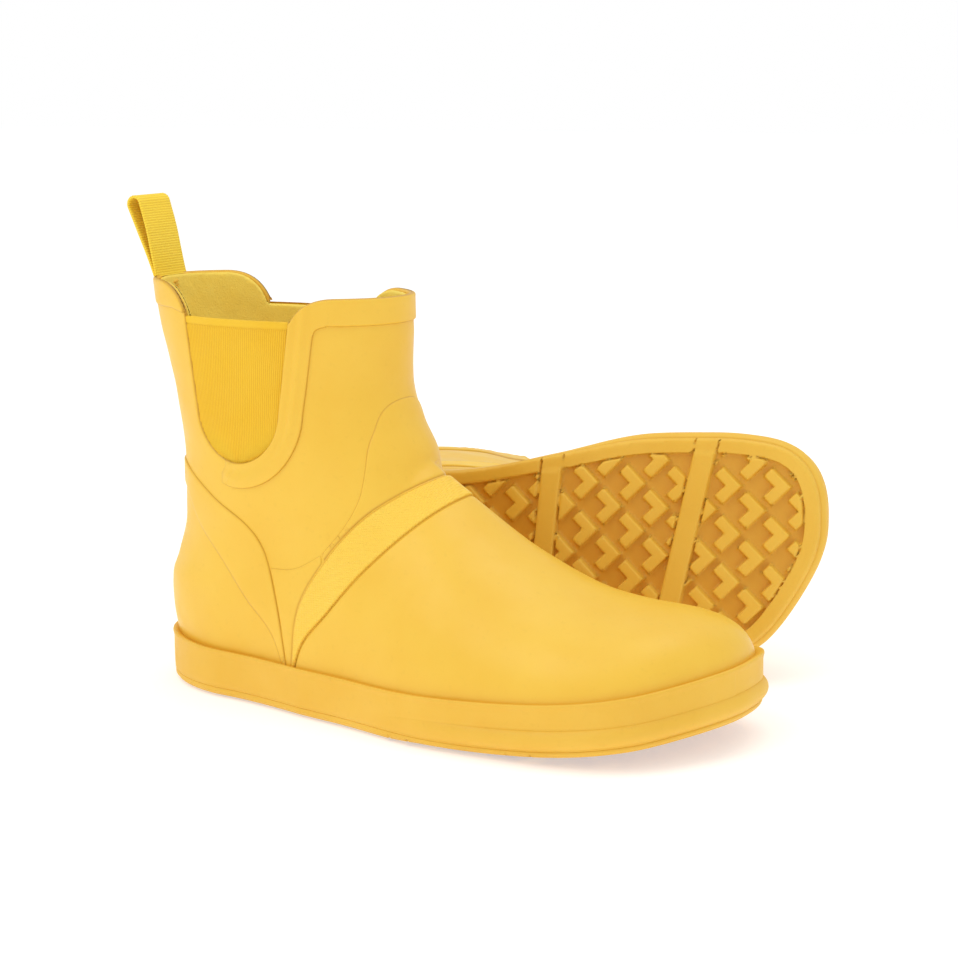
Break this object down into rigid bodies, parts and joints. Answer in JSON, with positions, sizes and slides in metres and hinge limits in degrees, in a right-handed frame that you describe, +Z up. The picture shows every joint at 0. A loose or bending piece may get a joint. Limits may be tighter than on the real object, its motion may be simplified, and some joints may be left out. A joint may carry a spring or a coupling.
{
  "type": "deck boots",
  "caption": "Pull-on rubber ankle boots with elastic side gores, chevron-lugged soles, pull loops and textile lining; one stands, one lies on its side.",
  "frame": {"origin": "on the floor, 3 mm inside the back edge of the standing right boot's heel, on its middle line; the flat rim of the heel rests there", "axes": "+X from the heel to the toe of the standing right boot, +Y to its medial side where the left boot lies behind it, +Z up"},
  "size_m": [0.3235, 0.2822, 0.2036],
  "materials": {
    "sole_rubber": "matte moulded rubber, golden yellow",
    "upper_rubber": "matte vulcanised rubber, golden yellow",
    "filler_rubber": "raw sponge rubber",
    "gore_elastic": "finely ribbed elastic, saturated yellow",
    "lining_textile": "brushed knit lining, beige yellow",
    "loop_webbing": "grosgrain webbing, bright yellow",
    "stitch_thread": "bonded thread",
    "board_fibre": "pressed fibre insole board",
    "counter_plastic": "thin thermoplastic stiffener",
    "footbed_foam": "textile-topped foam footbed"
  },
  "bodies": {
    "right_boot": {"right_outsole": "sole_rubber", "right_foxing_strip": "sole_rubber", "right_toe_bumper": "sole_rubber", "right_filler_sheet": "filler_rubber", "right_upper_shell": "upper_rubber", "right_insole_board": "board_fibre", "right_heel_counter": "counter_plastic", "right_lining_sock": "lining_textile", "right_toe_vamp": "upper_rubber", "right_instep_strap": "upper_rubber", "right_saddle_panel": "upper_rubber", "right_waist_panel": "upper_rubber", "right_heel_strap": "upper_rubber", "right_collar_band": "upper_rubber", "right_rear_collar_band": "upper_rubber", "right_gore_lateral": "gore_elastic", "right_gore_medial": "gore_elastic", "right_loop_anchor": "loop_webbing", "right_loop_stitches": "stitch_thread"},
    "right_pull_loop": {"right_pull_loop": "loop_webbing"},
    "right_footbed": {"right_footbed": "footbed_foam"},
    "left_boot": {"left_outsole": "sole_rubber", "left_foxing_strip": "sole_rubber", "left_toe_bumper": "sole_rubber", "left_filler_sheet": "filler_rubber", "left_upper_shell": "upper_rubber", "left_insole_board": "board_fibre", "left_heel_counter": "counter_plastic", "left_lining_sock": "lining_textile", "left_toe_vamp": "upper_rubber", "left_instep_strap": "upper_rubber", "left_saddle_panel": "upper_rubber", "left_waist_panel": "upper_rubber", "left_heel_strap": "upper_rubber", "left_collar_band": "upper_rubber", "left_rear_collar_band": "upper_rubber", "left_gore_lateral": "gore_elastic", "left_gore_medial": "gore_elastic", "left_loop_anchor": "loop_webbing", "left_loop_stitches": "stitch_thread"},
    "left_pull_loop": {"left_pull_loop": "loop_webbing"},
    "left_footbed": {"left_footbed": "footbed_foam"}
  },
  "joints": [
    {"name": "right_loop_hinge", "type": "hinge", "parent": "right_boot", "child": "right_pull_loop", "pos_m": [-0.00494, 0, 0.1715], "axis": [0, 1, 0], "range_deg": [-50, 80], "stiffness_Nm_per_rad": 0.02},
    {"name": "right_footbed_lift", "type": "hinge", "parent": "right_boot", "child": "right_footbed", "pos_m": [0.251, 0, 0.02661], "axis": [0, 1, 0], "range_deg": [0, 4.5]},
    {"name": "left_boot_lift", "type": "slide", "parent": "right_boot", "child": "left_boot", "axis": [0, 0, 1], "range_m": [0, 0.25]},
    {"name": "left_loop_hinge", "type": "hinge", "parent": "left_boot", "child": "left_pull_loop", "pos_m": [-0.04273, 0.19823, 0.02851], "axis": [0.0503, -0.1366, -0.9893], "range_deg": [-50, 80], "stiffness_Nm_per_rad": 0.02},
    {"name": "left_footbed_lift", "type": "hinge", "parent": "left_boot", "child": "left_footbed", "pos_m": [0.23802, 0.11453, 0.05434], "axis": [0.0503, -0.1366, -0.9893], "range_deg": [0, 4.5], "stiffness_Nm_per_rad": 0.3}
  ]
}
